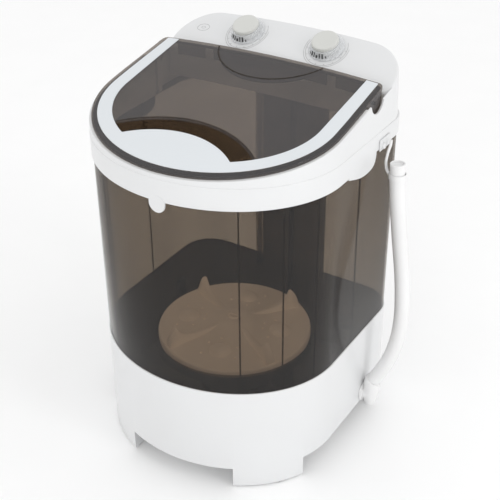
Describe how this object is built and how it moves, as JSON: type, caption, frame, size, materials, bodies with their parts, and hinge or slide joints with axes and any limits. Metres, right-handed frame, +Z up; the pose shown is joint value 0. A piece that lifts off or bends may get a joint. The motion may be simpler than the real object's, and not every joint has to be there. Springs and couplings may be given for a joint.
{
  "type": "top load washing machine",
  "caption": "Compact top-load washing machine: smoked see-through tub on a white base, hinged sloping lid, twin timer knobs on a raised rear panel, pulsator, belt drive and side drain hose.",
  "frame": {"origin": "bottom centre of the machine, on the floor under its feet", "axes": "+Z up, front (the lid's open end) towards -Y, drain hose on the +X side"},
  "size_m": [0.4258, 0.3608, 0.5792],
  "materials": {
    "white_plastic": "glossy injection-moulded white",
    "smoked_plastic": "smoke-brown see-through, polished",
    "taupe_plastic": "satin moulded",
    "ivory_plastic": "satin ivory",
    "clear_plastic": "clear polished dial skirt",
    "black_plastic": "matt moulded",
    "rubber": "matt rubber",
    "steel": "turned and plated",
    "painted_steel": "dark painted",
    "hose_plastic": "soft white tubing"
  },
  "bodies": {
    "cabinet": {"base_housing": "white_plastic", "bottom_cover": "white_plastic", "lint_grate": "white_plastic", "drain_pipe": "white_plastic", "top_frame": "white_plastic", "hose_hook": "white_plastic", "control_panel": "white_plastic", "panel_tray": "white_plastic", "rear_duct_cover": "white_plastic", "bearing_housing": "white_plastic", "wash_tub": "smoked_plastic", "wash_timer_body": "black_plastic", "spin_timer_body": "black_plastic", "foot_pad_front_left": "rubber", "foot_pad_front_right": "rubber", "foot_pad_rear_left": "rubber", "foot_pad_rear_right": "rubber", "cable_gland": "rubber", "shaft_seal": "rubber", "drive_belt": "rubber", "cover_screw_front_left": "steel", "cover_screw_front_right": "steel", "cover_screw_rear_left": "steel", "cover_screw_rear_right": "steel", "panel_screw_left": "steel", "panel_screw_right": "steel", "lower_bearing": "steel", "upper_bearing": "steel", "capacitor_clip": "steel", "motor_body": "painted_steel", "motor_bracket": "painted_steel", "run_capacitor": "black_plastic", "wiring_harness": "black_plastic"},
    "lid": {"lid_cover": "smoked_plastic", "lid_trim": "white_plastic", "hinge_pin_left": "white_plastic", "hinge_pin_right": "white_plastic"},
    "wash_timer": {"wash_timer_shaft": "steel", "wash_timer_dial": "clear_plastic", "wash_timer_knob": "ivory_plastic"},
    "spin_timer": {"spin_timer_shaft": "steel", "spin_timer_dial": "clear_plastic", "spin_timer_knob": "ivory_plastic"},
    "pulsator_drive": {"pulsator": "taupe_plastic", "pulsator_screw": "steel", "drive_shaft": "steel", "drive_pulley": "painted_steel"},
    "motor_rotor": {"motor_shaft": "steel", "motor_pulley": "steel"},
    "drain_hose_arm": {"drain_elbow": "white_plastic", "drain_hose": "hose_plastic", "hose_strap": "hose_plastic"}
  },
  "joints": [
    {"name": "lid_hinge", "type": "hinge", "parent": "cabinet", "child": "lid", "pos_m": [0, 0.0685, 0.529], "axis": [-1, 0, 0], "range_deg": [0, 105]},
    {"name": "wash_timer_turn", "type": "hinge", "parent": "cabinet", "child": "wash_timer", "pos_m": [-0.064, 0.1455, 0.55671], "axis": [0, 0.4327, -0.9015], "range_deg": [0, 300]},
    {"name": "spin_timer_turn", "type": "hinge", "parent": "cabinet", "child": "spin_timer", "pos_m": [0.064, 0.1455, 0.55671], "axis": [0, 0.4327, -0.9015], "range_deg": [0, 300]},
    {"name": "pulsator_spin", "type": "hinge", "parent": "cabinet", "child": "pulsator_drive", "pos_m": [0, 0, 0.16], "axis": [0, 0, 1], "continuous": true},
    {"name": "motor_spin", "type": "hinge", "parent": "cabinet", "child": "motor_rotor", "pos_m": [-0.1, 0.062, 0.1], "axis": [0, 0, 1], "continuous": true},
    {"name": "drain_hose_swivel", "type": "hinge", "parent": "cabinet", "child": "drain_hose_arm", "pos_m": [0.186, 0.082, 0.05], "axis": [-1, 0, 0], "range_deg": [0, 94]}
  ],
  "couplings": [
    {"joint": "motor_spin", "follows": "pulsator_spin", "ratio": 4}
  ]
}
